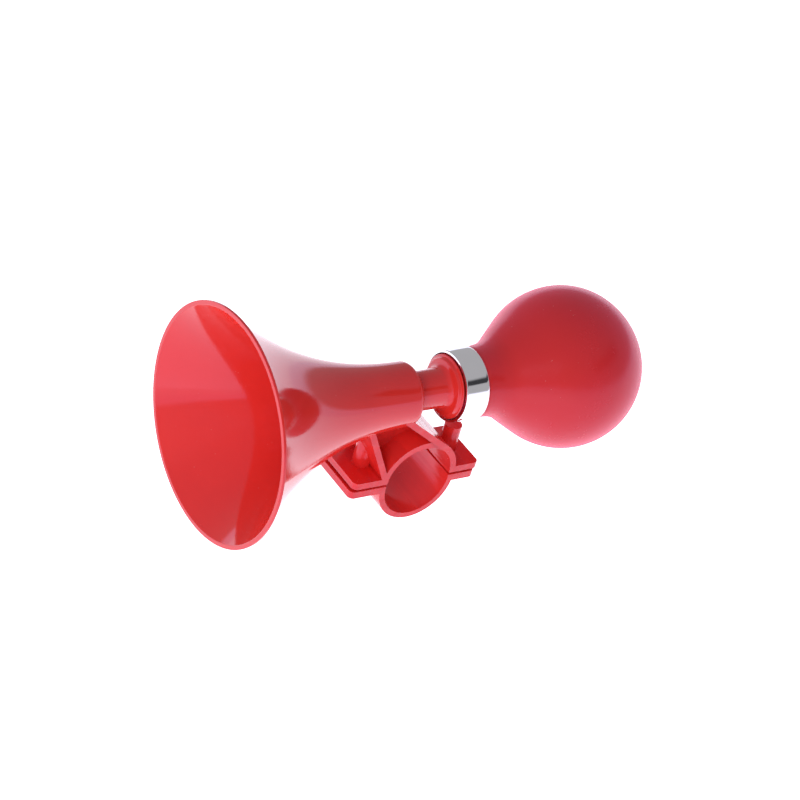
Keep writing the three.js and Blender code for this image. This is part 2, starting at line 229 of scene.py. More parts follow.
# %% White glowing floor
FLOOR_Z = -0.11
FLOOR_HALF = 3.0
PAPER_COLOUR = (0.80, 0.80, 0.80, 1)
PAPER_GLOW = (0.92, 0.90, 1.0, 1)
GLOW_STRENGTH, GLOW_DIFFUSE = 1.45, 0.60    # as seen, and as it lights matt surfaces

mesh = bpy.data.meshes.new("floor")
corners = [(x, y, FLOOR_Z) for x, y in ((-1, -1), (1, -1), (1, 1), (-1, 1))]
mesh.from_pydata([(x * FLOOR_HALF, y * FLOOR_HALF, z) for x, y, z in corners], [], [(0, 1, 2, 3)])
floor = bpy.data.objects.new("floor", mesh)
bpy.context.scene.collection.objects.link(floor)
floor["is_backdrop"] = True
paper = bpy.data.materials.new("white_paper")
paper.use_nodes = True
paper_shader = paper.node_tree.nodes["Principled BSDF"]
paper_shader.inputs["Base Color"].default_value = PAPER_COLOUR
paper_shader.inputs["Roughness"].default_value = 0.9
paper_shader.inputs["Emission Color"].default_value = PAPER_GLOW
floor.data.materials.append(paper)
paper_nodes, paper_links = paper.node_tree.nodes, paper.node_tree.links
glow = paper_nodes.new("ShaderNodeMapRange")
glow.inputs["To Min"].default_value = GLOW_STRENGTH
glow.inputs["To Max"].default_value = GLOW_DIFFUSE
light_path = paper_nodes.new("ShaderNodeLightPath")
paper_links.new(light_path.outputs["Is Diffuse Ray"], glow.inputs["Value"])
paper_links.new(glow.outputs["Result"], paper_shader.inputs["Emission Strength"])
paper_side = paper_nodes.new("ShaderNodeNewGeometry")
paper_clear = paper_nodes.new("ShaderNodeBsdfTransparent")
paper_mix = paper_nodes.new("ShaderNodeMixShader")
paper_output = next(n for n in paper_nodes if n.type == "OUTPUT_MATERIAL")
paper_links.new(paper_side.outputs["Backfacing"], paper_mix.inputs["Fac"])
paper_links.new(paper_shader.outputs["BSDF"], paper_mix.inputs[1])
paper_links.new(paper_clear.outputs["BSDF"], paper_mix.inputs[2])
paper_links.new(paper_mix.outputs["Shader"], paper_output.inputs["Surface"])
print("floor at", FLOOR_Z, "m")

# %% [markdown]
# One wide soft lamp hangs in front of the mouth and a little to the left. It fills the inside of the
# bell evenly. It is kept out of the reflections, as if it were turned until its image falls off the
# plastic.

# %% Soft lamp in front of the mouth
LAMP_DIRECTION = Vector((-0.80, -0.50, 0.42)).normalized()
LAMP_DISTANCE = 0.9
LAMP_SIZE = 0.6
LAMP_WATTS = 4.0
lamp_data = bpy.data.lights.new("front_lamp", "AREA")
lamp_data.size, lamp_data.energy = LAMP_SIZE, LAMP_WATTS
front_lamp = bpy.data.objects.new("front_lamp", lamp_data)
bpy.context.scene.collection.objects.link(front_lamp)
lamp_turn = LAMP_DIRECTION.to_track_quat("Z", "Y").to_matrix().to_4x4()
front_lamp.matrix_world = Matrix.Translation(AIM + LAMP_DIRECTION * LAMP_DISTANCE) @ lamp_turn
front_lamp.visible_glossy = False
print("lamp", lamp_data.energy, "W at", [round(c, 2) for c in front_lamp.matrix_world.translation])

# %% [markdown]
# ## Surface effects that several finishes share
#
# New moulded plastic is never perfectly even. It has a fine ripple like orange peel, faint rubbing
# marks, a little dust, and on turned shapes very thin rings left by the mould maker's polishing.
# Each of these is made once as a small group of shader nodes, and every finish uses it with its own
# numbers. The groups give out only masks and heights, and the shader stays in the material.

# %% Helper: a shader group with named sockets
def shader_group(name, inputs, outputs):
    """An empty group with float inputs {name: value} and float outputs, and its two end nodes."""
    group = bpy.data.node_groups.new(name, "ShaderNodeTree")
    for socket, value in inputs.items():
        made = group.interface.new_socket(socket, in_out="INPUT", socket_type="NodeSocketFloat")
        made.default_value = value
    for socket in outputs:
        group.interface.new_socket(socket, in_out="OUTPUT", socket_type="NodeSocketFloat")
    return group, group.nodes.new("NodeGroupInput"), group.nodes.new("NodeGroupOutput")


def add(tree, kind, **settings):
    """A new node with its properties set."""
    node = tree.nodes.new(kind)
    for key, value in settings.items():
        setattr(node, key, value)
    return node


def calc(tree, operation, *values, clamp=False):
    """A Math node on sockets or numbers. Gives its output socket."""
    node = add(tree, "ShaderNodeMath", operation=operation, use_clamp=clamp)
    for socket, value in zip(node.inputs, values):
        if isinstance(value, (int, float)):
            socket.default_value = value
        else:
            tree.links.new(value, socket)
    return node.outputs[0]


def noise(tree, vector, scale, detail=3.0, roughness=0.55):
    """A Noise Texture on a vector. The scale may be a number or a socket."""
    node = add(tree, "ShaderNodeTexNoise")
    node.inputs["Detail"].default_value = detail
    node.inputs["Roughness"].default_value = roughness
    tree.links.new(vector, node.inputs["Vector"])
    if isinstance(scale, (int, float)):
        node.inputs["Scale"].default_value = scale
    else:
        tree.links.new(scale, node.inputs["Scale"])
    return node.outputs["Fac"]


def between(tree, value, low, high):
    """How far a value is from low to high, from 0 to 1, with soft ends."""
    node = add(tree, "ShaderNodeMapRange", interpolation_type="SMOOTHSTEP")
    node.inputs["From Min"].default_value, node.inputs["From Max"].default_value = low, high
    tree.links.new(value, node.inputs["Value"])
    return node.outputs["Result"]


# %% Group: handling marks (smudges, rubbed patches and dust)
marks, given, result = shader_group(
    "handling_marks", {"Smudge Size": 60.0, "Dust Size": 900.0}, ("Smudge", "Rub", "Dust"))
place = add(marks, "ShaderNodeTexCoord").outputs["Object"]
smudge = between(marks, noise(marks, place, given.outputs["Smudge Size"], 4.0), 0.38, 0.68)
marks.links.new(smudge, result.inputs["Smudge"])
rub_fine = noise(marks, place, 420.0, 2.0, 0.7)
rub = calc(marks, "MULTIPLY", between(marks, rub_fine, 0.5, 0.72), smudge)
marks.links.new(rub, result.inputs["Rub"])
speck = add(marks, "ShaderNodeTexVoronoi", feature="F1")
marks.links.new(place, speck.inputs["Vector"])
marks.links.new(given.outputs["Dust Size"], speck.inputs["Scale"])
dot = between(marks, speck.outputs["Distance"], 0.16, 0.06)
chance = between(marks, noise(marks, place, 210.0, 1.0), 0.62, 0.70)
marks.links.new(calc(marks, "MULTIPLY", dot, chance), result.inputs["Dust"])

# %% Group: moulded skin (orange peel and a slow waviness)
skin, given, result = shader_group("moulded_skin", {"Peel Size": 700.0}, ("Peel", "Wave"))
place = add(skin, "ShaderNodeTexCoord").outputs["Object"]
skin.links.new(noise(skin, place, given.outputs["Peel Size"], 2.0), result.inputs["Peel"])
skin.links.new(noise(skin, place, 55.0, 1.0), result.inputs["Wave"])

# %% Group: rings round the horn's line, from polishing the turned mould
rings, given, result = shader_group("polish_rings", {"Rings": 1500.0}, ("Ring", "Band"))
place = add(rings, "ShaderNodeTexCoord").outputs["Object"]
parts = add(rings, "ShaderNodeSeparateXYZ")
rings.links.new(place, parts.inputs[0])
height = calc(rings, "SUBTRACT", parts.outputs["Z"], AXIS_Z)
turn = calc(rings, "ARCTAN2", height, parts.outputs["Y"])
line = add(rings, "ShaderNodeCombineXYZ")
rings.links.new(parts.outputs["X"], line.inputs["X"])
rings.links.new(calc(rings, "MULTIPLY", calc(rings, "SINE", turn), 0.0006), line.inputs["Y"])
rings.links.new(calc(rings, "MULTIPLY", calc(rings, "COSINE", turn), 0.0006), line.inputs["Z"])
rings.links.new(noise(rings, line.outputs[0], given.outputs["Rings"], 4.0, 0.7), result.inputs["Ring"])
rings.links.new(noise(rings, line.outputs[0], 260.0, 2.0), result.inputs["Band"])

# %% Group: lines along the handlebar, dragged as a moulding leaves its core, and broad bands that give a low rib and painted shade
drags_and_band_shade, given, result = shader_group("drag_lines_and_band_shade", {"Lines": 480.0}, ("Line", "Broad"))
place = add(drags_and_band_shade, "ShaderNodeTexCoord").outputs["Object"]
stretch = add(drags_and_band_shade, "ShaderNodeVectorMath", operation="MULTIPLY")
stretch.inputs[1].default_value = (1.0, 0.035, 1.0)
drags_and_band_shade.links.new(place, stretch.inputs[0])
drag_line = noise(drags_and_band_shade, stretch.outputs[0], given.outputs["Lines"], 3.0, 0.6)
drags_and_band_shade.links.new(drag_line, result.inputs["Line"])
# The broad bands make a low rib and, in the finish, painted shade of flutes along the handlebar.
broad = between(drags_and_band_shade, noise(drags_and_band_shade, stretch.outputs[0], 210.0, 1.0), 0.42, 0.60)
drags_and_band_shade.links.new(broad, result.inputs["Broad"])
print("shared effects:", ", ".join(group.name for group in (marks, skin, rings, drags_and_band_shade)))

# %% [markdown]
# ## One recipe for every finish
#
# A finish starts from its own colour and gloss. The shared effects then change the colour a little
# between two shades, make the gloss uneven and give the surface a very low relief. On the clamp the
# broad bands along the handlebar also pull the colour toward the darker red, which is painted shade
# of flutes. Whatever is the same all over, such as the metal or the sheen, is set on the shader
# itself.

# %% Helper: a finish from the shared effects
def finish(name, colour, second_colour, gloss, relief, peel=700.0, ring=0.0, ring_gloss=0.0,
           drag=0.0, dust=0.5, smudge_size=60.0, **shader_values):
    """A material whose roughness goes from gloss[0] to gloss[1]. Relief is the bump in metres."""
    material = bpy.data.materials.new(name)
    material.use_nodes = True
    tree = material.node_tree
    shader = tree.nodes["Principled BSDF"]
    for socket, value in shader_values.items():
        shader.inputs[socket.replace("_", " ")].default_value = value
    mark_node = add(tree, "ShaderNodeGroup", node_tree=marks)
    mark_node.inputs["Smudge Size"].default_value = smudge_size
    skin_node = add(tree, "ShaderNodeGroup", node_tree=skin)
    skin_node.inputs["Peel Size"].default_value = peel
    ring_node = add(tree, "ShaderNodeGroup", node_tree=rings)
    shade = add(tree, "ShaderNodeMix", data_type="RGBA")
    shade.inputs["A"].default_value = (*colour, 1)
    shade.inputs["B"].default_value = (*second_colour, 1)
    cloud = calc(tree, "MULTIPLY", skin_node.outputs["Wave"], 0.6)
    cloud = calc(tree, "ADD", cloud, calc(tree, "MULTIPLY", mark_node.outputs["Smudge"], 0.3))
    if ring:
        cloud = calc(tree, "ADD", cloud, calc(tree, "MULTIPLY", ring_node.outputs["Band"], 0.25))
    if drag:
        drag_and_shade_node = add(tree, "ShaderNodeGroup", node_tree=drags_and_band_shade)
        # Painted shade: the broad bands pull the colour toward the second, darker red, as flutes would
        # shade it.
        cloud = calc(tree, "ADD", cloud, calc(tree, "MULTIPLY", drag_and_shade_node.outputs["Broad"], 0.45))
    tree.links.new(cloud, shade.inputs["Factor"])
    dusted = add(tree, "ShaderNodeMix", data_type="RGBA")
    dusted.inputs["B"].default_value = (0.75, 0.68, 0.66, 1)
    tree.links.new(shade.outputs["Result"], dusted.inputs["A"])
    tree.links.new(calc(tree, "MULTIPLY", mark_node.outputs["Dust"], dust), dusted.inputs["Factor"])
    tree.links.new(dusted.outputs["Result"], shader.inputs["Base Color"])
    rough = calc(tree, "MULTIPLY", mark_node.outputs["Smudge"], (gloss[1] - gloss[0]) * 0.6)
    rub_part = calc(tree, "MULTIPLY", mark_node.outputs["Rub"], (gloss[1] - gloss[0]) * 0.6)
    rough = calc(tree, "ADD", calc(tree, "ADD", rough, rub_part), gloss[0])
    if ring_gloss:
        ring_part = calc(tree, "MULTIPLY", ring_node.outputs["Ring"], ring_gloss)
        rough = calc(tree, "ADD", rough, ring_part)
    tree.links.new(rough, shader.inputs["Roughness"])
    height = calc(tree, "ADD", skin_node.outputs["Peel"],
                  calc(tree, "MULTIPLY", mark_node.outputs["Dust"], 1.5))
    if ring:
        height = calc(tree, "ADD", height, calc(tree, "MULTIPLY", ring_node.outputs["Ring"], ring))
    if drag:
        height = calc(tree, "ADD", height, calc(tree, "MULTIPLY", drag_and_shade_node.outputs["Line"], drag))
        rib = calc(tree, "MULTIPLY", drag_and_shade_node.outputs["Broad"], drag * 1.5)
        height = calc(tree, "ADD", height, rib)
    bump = add(tree, "ShaderNodeBump")
    bump.inputs["Distance"].default_value = relief
    bump.inputs["Strength"].default_value = 1.0
    tree.links.new(height, bump.inputs["Height"])
    tree.links.new(bump.outputs["Normal"], shader.inputs["Normal"])
    return material


# %% [markdown]
# ## The finishes
#
# The bell, the stem and both clamp halves are glossy red plastic. The turned pieces show polish
# rings and the clamp shows lines along the handlebar, with painted shade in broad bands along it.
# The bulb is soft vinyl: a deeper red, satin, with a crimson sheen at its edge. The ring on the
# bulb's neck is polished chrome, the screws are zinc plated, and the reed is a strip of brass held
# on a plastic block by a brass clip.

# %% Plastic, vinyl and metal
RED = (0.75, 0.034, 0.026)
DEEP_RED = (0.68, 0.028, 0.023)
# The clamp's second red serves both as random tone and as painted shade in the broad bands.
CLAMP_RED, CLAMP_DEEP_RED_AND_BAND_SHADE = (0.82, 0.034, 0.028), (0.68, 0.026, 0.024)
BULB_RED, BULB_CRIMSON = (0.57, 0.024, 0.018), (0.60, 0.022, 0.030)
SHEEN_CRIMSON = (1.0, 0.04, 0.20, 1)
ROSE = (1.0, 0.70, 1.0, 1)      # tint of the plastic's own reflection
bell_red = finish("bell_red_plastic", RED, DEEP_RED, (0.050, 0.10), 0.000008, peel=300.0,
                  ring=0.9, ring_gloss=0.05, dust=0.15, IOR=1.5, Specular_Tint=ROSE)
clamp_red = finish("clamp_red_plastic", CLAMP_RED, CLAMP_DEEP_RED_AND_BAND_SHADE, (0.17, 0.28), 0.000014,
                   peel=420.0, drag=3.5, dust=0.3, IOR=1.5, Specular_Tint=ROSE)
stem_red = finish("stem_red_plastic", RED, DEEP_RED, (0.08, 0.16), 0.000005, ring=0.9,
                  ring_gloss=0.06, dust=0.15, IOR=1.5, Specular_Tint=ROSE)
bulb_vinyl = finish("bulb_red_vinyl", BULB_RED, BULB_CRIMSON, (0.20, 0.30), 0.000006,
                    peel=1200.0, smudge_size=38.0, dust=0.25, IOR=1.42, Specular_Tint=ROSE,
                    Sheen_Weight=1.0, Sheen_Roughness=0.45, Sheen_Tint=SHEEN_CRIMSON)
chrome = finish("ring_chrome", (0.80, 0.80, 0.81), (0.74, 0.74, 0.75), (0.03, 0.09), 0.000002,
                peel=400.0, ring=0.8, ring_gloss=0.03, dust=0.15, Metallic=1.0)
zinc = finish("screw_zinc", (0.62, 0.63, 0.64), (0.48, 0.49, 0.52), (0.24, 0.42), 0.000010,
              peel=2600.0, smudge_size=400.0, dust=0.3, Metallic=1.0)
reed_brass = finish("reed_brass", (0.70, 0.48, 0.17), (0.52, 0.33, 0.11), (0.18, 0.36), 0.000004,
                    peel=1800.0, smudge_size=300.0, dust=0.1, Metallic=1.0)
reed_cream = finish("reed_cream_plastic", (0.74, 0.70, 0.60), (0.66, 0.61, 0.50), (0.35, 0.50),
                    0.000010, peel=1600.0, smudge_size=260.0, dust=0.2, IOR=1.5)
print("finishes:", len([m for m in bpy.data.materials if m.name != "white_paper"]))

# %% [markdown]
# ## The bell, by rule
#
# The bell is moulded over a turned core, so its whole shape follows one rule: how far it stands from
# the horn's line at each distance behind the mouth. It hardly widens at first and then opens out
# faster and faster, as a power of the distance. Geometry Nodes suit such a piece: a flat grid is
# rolled up, one side of it being the way round and the other the way along, and the rule gives
# every point its place. The sizes stay as named inputs. The grid goes from the collar over the
# outside to the mouth, and back down the inside.

# %% Helpers for geometry trees
SEAM_DISTANCE = 0.000004     # points closer than this are one point


def geometry_tree(name, inputs):
    """A geometry tree with float inputs {name: value}. Gives the tree and its input node."""
    tree = bpy.data.node_groups.new(name, "GeometryNodeTree")
    for socket, value in inputs.items():
        made = tree.interface.new_socket(socket, in_out="INPUT", socket_type="NodeSocketFloat")
        made.default_value = value
    tree.interface.new_socket("Geometry", in_out="OUTPUT", socket_type="NodeSocketGeometry")
    return tree, tree.nodes.new("NodeGroupInput")


def close_tree(tree, geometry, material):
    """Ends a tree: real geometry from the instances, the material, and the output."""
    real = tree.nodes.new("GeometryNodeRealizeInstances")
    tree.links.new(geometry, real.inputs[0])
    painted = tree.nodes.new("GeometryNodeSetMaterial")
    painted.inputs["Material"].default_value = material
    tree.links.new(real.outputs[0], painted.inputs["Geometry"])
    end = tree.nodes.new("NodeGroupOutput")
    tree.links.new(painted.outputs[0], end.inputs[0])


def run_tree(tree, name, values, material):
    """Runs a tree with its inputs set and gives the result as a plain mesh object."""
    holder = bpy.data.objects.new(name + "_rule", bpy.data.meshes.new(name + "_rule"))
    bpy.context.scene.collection.objects.link(holder)
    modifier = holder.modifiers.new("rule", "NODES")
    modifier.node_group = tree
    for item in tree.interface.items_tree:
        if item.item_type == "SOCKET" and item.in_out == "INPUT" and item.name in values:
            modifier[item.identifier] = float(values[item.name])
    graph = bpy.context.evaluated_depsgraph_get()
    made = bpy.data.meshes.new_from_object(holder.evaluated_get(graph))
    bpy.data.objects.remove(holder)
    made.name = name
    made.materials.clear()
    made.materials.append(material)
    piece = bpy.data.objects.new(name, made)
    bpy.context.scene.collection.objects.link(piece)
    return piece


def rolled_grid(tree, columns, rows):
    """A grid whose points know their column and row. Gives (geometry, column, row)."""
    grid = tree.nodes.new("GeometryNodeMeshGrid")
    for socket, value in zip(grid.inputs, (columns, rows - 1, columns + 1, rows)):
        socket.default_value = value
    spot = add(tree, "ShaderNodeSeparateXYZ")
    tree.links.new(tree.nodes.new("GeometryNodeInputPosition").outputs[0], spot.inputs[0])
    column = calc(tree, "ADD", spot.outputs["X"], columns / 2)
    row = calc(tree, "ADD", spot.outputs["Y"], (rows - 1) / 2)
    return grid.outputs["Mesh"], column, row


def set_round(tree, geometry, column, columns, along, radius, along_axis):
    """Rolls the grid round an axis line and welds its seam and its poles."""
    turn = calc(tree, "MULTIPLY", column, 2 * math.pi / columns)
    across = calc(tree, "MULTIPLY", radius, calc(tree, "COSINE", turn))
    up = calc(tree, "MULTIPLY", radius, calc(tree, "SINE", turn))
    spot = add(tree, "ShaderNodeCombineXYZ")
    order = {"X": (along, across, up), "Z": (across, up, along)}[along_axis]
    for socket, value in zip(spot.inputs, order):
        tree.links.new(value, socket)
    moved = tree.nodes.new("GeometryNodeSetPosition")
    tree.links.new(geometry, moved.inputs["Geometry"])
    tree.links.new(spot.outputs[0], moved.inputs["Position"])
    weld = tree.nodes.new("GeometryNodeMergeByDistance")
    weld.inputs["Distance"].default_value = SEAM_DISTANCE
    tree.links.new(moved.outputs[0], weld.inputs["Geometry"])
    return weld.outputs[0]


# %% The bell's rule as a tree
BELL_COLUMNS, FLARE_ROWS, ROUND_ROWS = 144, 64, 7
SIDE_ROWS = FLARE_ROWS + ROUND_ROWS + 4     # rows on one side, from the mouth to the back wall
COLLAR_RADIUS, FLARE_POWER = 0.0098, 2.25
bell_tree, size = geometry_tree("bell_rule", {
    "Mouth Radius": 0.036, "Collar Radius": COLLAR_RADIUS, "Length": 0.0665,
    "Flare Power": FLARE_POWER,
    "Wall": 0.0010, "Lip Width": 0.0009, "Collar Round": 0.0022, "Back Hole": 0.0059,
    "Throat": 0.0047})
size = size.outputs
grid, column, row = rolled_grid(bell_tree, BELL_COLUMNS, 2 * SIDE_ROWS)


def bell_calc(operation, *values, clamp=False):
    """A Math node in the bell's tree."""
    return calc(bell_tree, operation, *values, clamp=clamp)


inside = bell_calc("GREATER_THAN", row, SIDE_ROWS - 0.5)
outer_step = bell_calc("SUBTRACT", SIDE_ROWS - 1.0, row)
inner_step = bell_calc("SUBTRACT", row, float(SIDE_ROWS))
step = bell_calc("MAXIMUM", outer_step, inner_step)
lip = bell_calc("MINIMUM", step, 1.0)
drop = bell_calc("SUBTRACT", step, 1.0, clamp=True)
down = bell_calc("DIVIDE", bell_calc("SUBTRACT", step, 2.0), float(FLARE_ROWS), clamp=True)
past_flare = bell_calc("SUBTRACT", step, FLARE_ROWS + 2.0)
bend = bell_calc("DIVIDE", past_flare, float(ROUND_ROWS), clamp=True)
wall_in = bell_calc("SUBTRACT", step, FLARE_ROWS + ROUND_ROWS + 2.0, clamp=True)
flare_end = bell_calc("SUBTRACT", size["Length"], size["Collar Round"])
deep = bell_calc("ADD", bell_calc("MULTIPLY", lip, size["Lip Width"]),
                 bell_calc("MULTIPLY", down, bell_calc("SUBTRACT", flare_end, size["Lip Width"])))
left = bell_calc("SUBTRACT", 1.0, bell_calc("DIVIDE", deep, size["Length"]))
spread = bell_calc("SUBTRACT", size["Mouth Radius"], size["Collar Radius"])
flare = bell_calc("ADD", size["Collar Radius"],
                  bell_calc("MULTIPLY", spread, bell_calc("POWER", left, size["Flare Power"])))

# %% Outside, inside and the back wall
quarter = bell_calc("MULTIPLY", bend, math.pi / 2)
outer_radius = bell_calc("ADD", bell_calc("MULTIPLY", drop, flare),
                         bell_calc("MULTIPLY", bell_calc("SUBTRACT", 1.0, drop), size["Mouth Radius"]))
round_off = bell_calc("MULTIPLY", size["Collar Round"],
                      bell_calc("SUBTRACT", 1.0, bell_calc("COSINE", quarter)))
outer_radius = bell_calc("SUBTRACT", outer_radius, round_off)
outer_radius = bell_calc("ADD",
                         bell_calc("MULTIPLY", outer_radius, bell_calc("SUBTRACT", 1.0, wall_in)),
                         bell_calc("MULTIPLY", wall_in, size["Back Hole"]))
outer_deep = bell_calc("ADD", deep,
                       bell_calc("MULTIPLY", size["Collar Round"], bell_calc("SINE", quarter)))
slope = bell_calc("MULTIPLY", bell_calc("DIVIDE", bell_calc("MULTIPLY", spread, size["Flare Power"]),
                                        size["Length"]),
                  bell_calc("POWER", left, bell_calc("SUBTRACT", size["Flare Power"], 1.0)))
slant = bell_calc("SQRT", bell_calc("ADD", 1.0, bell_calc("MULTIPLY", slope, slope)))
inner_radius = bell_calc("SUBTRACT", flare, bell_calc("MULTIPLY", size["Wall"], slant))
inner_radius = bell_calc("ADD",
                         bell_calc("MULTIPLY", inner_radius, bell_calc("SUBTRACT", 1.0, wall_in)),
                         bell_calc("MULTIPLY", wall_in, size["Throat"]))
inner_deep = bell_calc("ADD", deep, bell_calc("MULTIPLY", bend, bell_calc(
    "SUBTRACT", size["Collar Round"], size["Wall"])))


def inner_or_outer(inner, outer):
    """The inner value on the inside rows and the outer value elsewhere."""
    outer_part = bell_calc("MULTIPLY", outer, bell_calc("SUBTRACT", 1.0, inside))
    return bell_calc("ADD", bell_calc("MULTIPLY", inner, inside), outer_part)


along = bell_calc("ADD", inner_or_outer(inner_deep, outer_deep), MOUTH_X)
radius = inner_or_outer(inner_radius, outer_radius)
shell = set_round(bell_tree, grid, column, BELL_COLUMNS, along, radius, "X")
close_tree(bell_tree, shell, bell_red)
print("bell rule:", len(bell_tree.nodes), "nodes")

# %% [markdown]
# The tree turns about the X line through the origin, so the mesh is lifted to the horn's line
# afterwards. The hole left in the back wall is bridged, which makes the shell a closed solid. A
# narrow bevel then rounds the lip as the mould does.

# %% Helpers that finish a plain mesh
def edit(piece, work):
    """Opens a piece's mesh, does the work on it and closes it again."""
    mesh = bmesh.new()
    mesh.from_mesh(piece.data)
    work(mesh)
    bmesh.ops.remove_doubles(mesh, verts=mesh.verts, dist=0.000003)
    bmesh.ops.recalc_face_normals(mesh, faces=mesh.faces)
    mesh.to_mesh(piece.data)
    mesh.free()
    piece.data.update()


def lift(mesh):
    """Raises a mesh from the origin line to the horn's line."""
    bmesh.ops.translate(mesh, verts=mesh.verts, vec=(0, 0, AXIS_Z))


def soften(piece, width, segments=3, angle=35, smooth=40):
    """Rounds the sharp edges and shades the rest as smooth surfaces."""
    bevel = piece.modifiers.new("rounded_edges", "BEVEL")
    bevel.width, bevel.segments = width, segments
    bevel.limit_method, bevel.angle_limit = "ANGLE", math.radians(angle)
    bevel.harden_normals = True
    for face in piece.data.polygons:
        face.use_smooth = True
    for edge_found in bmesh_sharp_edges(piece, smooth):
        piece.data.edges[edge_found].use_edge_sharp = True


def bmesh_sharp_edges(piece, smooth):
    """The edges whose faces meet at more than so many degrees."""
    mesh = bmesh.new()
    mesh.from_mesh(piece.data)
    limit = math.radians(smooth)
    found = [e.index for e in mesh.edges if len(e.link_faces) == 2 and e.calc_face_angle() > limit]
    mesh.free()
    return found


def place_piece(piece, body, slot, *nodes):
    """Puts a piece on its body and hides the frame nodes that it stands for. The slot is not used."""
    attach(piece, body)
    if nodes:
        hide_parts(*nodes)
    print(f"{piece.name}: {len(piece.data.polygons)} faces, rides on {body}")


# %% Bell, closed at the back and rounded at the lip
bell = run_tree(bell_tree, "bell_shell", {
    "Mouth Radius": MOUTH_RADIUS, "Length": BELL_LENGTH}, bell_red)


def close_back(mesh):
    """Joins the rim of the hole in the back wall to the end of the inside."""
    bmesh.ops.bridge_loops(mesh, edges=[e for e in mesh.edges if e.is_boundary])
    lift(mesh)


edit(bell, close_back)
soften(bell, 0.00052, segments=4)
place_piece(bell, "horn", "red_plastic", "bell")

# %% [markdown]
# ## Turned pieces
#
# The stem, the ring and the bulb are all turned about the same line. A profile is listed as pairs of
# distance behind the mouth and radius, in millimetres, as a turner would write it, and is then
# spun. Where the profile curves, a smooth curve is drawn through a few points, because a straight
# cone would show as a kink in the reflections.

# %% Helper: spin a closed profile about the horn's line
def spin(name, profile, material, columns=128):
    """A closed ring of faces for each step of a profile of (mm behind the mouth, radius in mm)."""
    mesh = bmesh.new()
    rings_made = []
    for along_mm, radius_mm in profile:
        x = MOUTH_X + along_mm * MM
        if radius_mm < 0.001:
            rings_made.append([mesh.verts.new((x, 0, AXIS_Z))] * columns)
            continue
        ring = []
        for column_no in range(columns):
            turn_angle = 2 * math.pi * column_no / columns
            y, z = math.cos(turn_angle), math.sin(turn_angle)
            ring.append(mesh.verts.new((x, y * radius_mm * MM, AXIS_Z + z * radius_mm * MM)))
        rings_made.append(ring)
    for here, there in zip(rings_made, rings_made[1:] + rings_made[:1]):
        for column_no in range(columns):
            after = (column_no + 1) % columns
            corners = [here[column_no], here[after], there[after], there[column_no]]
            corners = list(dict.fromkeys(corners))
            if len(corners) > 2:
                mesh.faces.new(corners)
    bmesh.ops.recalc_face_normals(mesh, faces=mesh.faces)
    data = bpy.data.meshes.new(name)
    mesh.to_mesh(data)
    mesh.free()
    data.materials.append(material)
    piece = bpy.data.objects.new(name, data)
    bpy.context.scene.collection.objects.link(piece)
    return piece


def curve_through(points, steps):
    """A smooth curve through the points, with so many steps between each two."""
    line = []
    ends = [points[0], *points, points[-1]]
    for before, here, there, after in zip(ends, ends[1:], ends[2:], ends[3:]):
        for step_no in range(steps):
            t = step_no / steps
            line.append(tuple(
                0.5 * (2 * b + (c - a) * t + (2 * a - 5 * b + 4 * c - d) * t * t
                       + (3 * b - a - 3 * c + d) * t ** 3)
                for a, b, c, d in zip(before, here, there, after)))
    line.append(tuple(points[-1]))
    return line


def arc(centre, radius, start, end, steps):
    """Points on an arc about (along, out), with angles in degrees from the rearward direction."""
    turns = [math.radians(start + (end - start) * n / steps) for n in range(steps + 1)]
    return [(centre[0] + radius * math.cos(t), centre[1] + radius * math.sin(t)) for t in turns]


# %% [markdown]
# ### Stem and hub
#
# The stem carries the air from the reed to the bell. It swells through a hollow fillet into a hub
# with a small step, and the hub's spigot goes into the bulb's neck. It is bored right through, with
# a wider seat for the reed at the bulb end.

# %% Stem with its hollow fillet, hub and spigot
FILLET_CENTRE = (76.4, 8.0)
FILLET_RADIUS = 1.9
stem_profile = [
    (56.8, 4.3), (56.8, 6.0), (66.0, 6.02), (72.0, 6.08),
    *arc(FILLET_CENTRE, FILLET_RADIUS, -88, -12, 10),
    (78.36, 8.2), (78.46, 8.55), (78.62, 8.76), (78.85, 8.87), (79.12, 8.93), (79.32, 9.08),
    (79.46, 9.34), (79.54, 9.62), (79.66, 9.78), (79.8, 9.85), (79.92, 9.8), (80.0, 9.66),
    (80.0, 8.3), (84.0, 8.3), (90.0, 8.3), (93.8, 8.3), (94.0, 8.1),
    (94.0, 5.4), (83.0, 5.4), (83.0, 4.3), (70.0, 4.3),
]
stem = spin("stem_and_hub", stem_profile, stem_red)
soften(stem, 0.00012, segments=2, angle=50, smooth=60)
place_piece(stem, "horn", "red_plastic", "stem")

# %% [markdown]
# ### Ring on the bulb's neck
#
# A band of thin chromed brass, pressed over the rubber neck. Its front edge is turned in as a narrow
# flat lip and its rear edge is rolled. The band bulges a hair in the middle, which bends the
# reflections the way pressed metal does.

# %% Chromed ring with its turned lip and rolled edge
FRONT_RADIUS, REAR_RADIUS = 11.05, 11.3
band = [(80.7 + 7.1 * n / 12, FRONT_RADIUS + (REAR_RADIUS - FRONT_RADIUS) * n / 12
         + 0.04 * math.sin(math.pi * n / 12)) for n in range(13)]
ring_profile = [
    (80.85, 10.15), (80.36, 10.15), (80.2, 10.27), (80.2, 10.72),
    *arc((80.56, 10.69), 0.36, 172, 100, 5), *band,
    *arc((87.85, 10.46), 0.82, 80, 0, 8),
    (88.4, 10.35), (80.85, 10.35),
]
ring_piece = spin("neck_ring", ring_profile, chrome)
soften(ring_piece, 0.00006, segments=2, angle=55, smooth=50)
place_piece(ring_piece, "horn", "chrome", "ferrule")
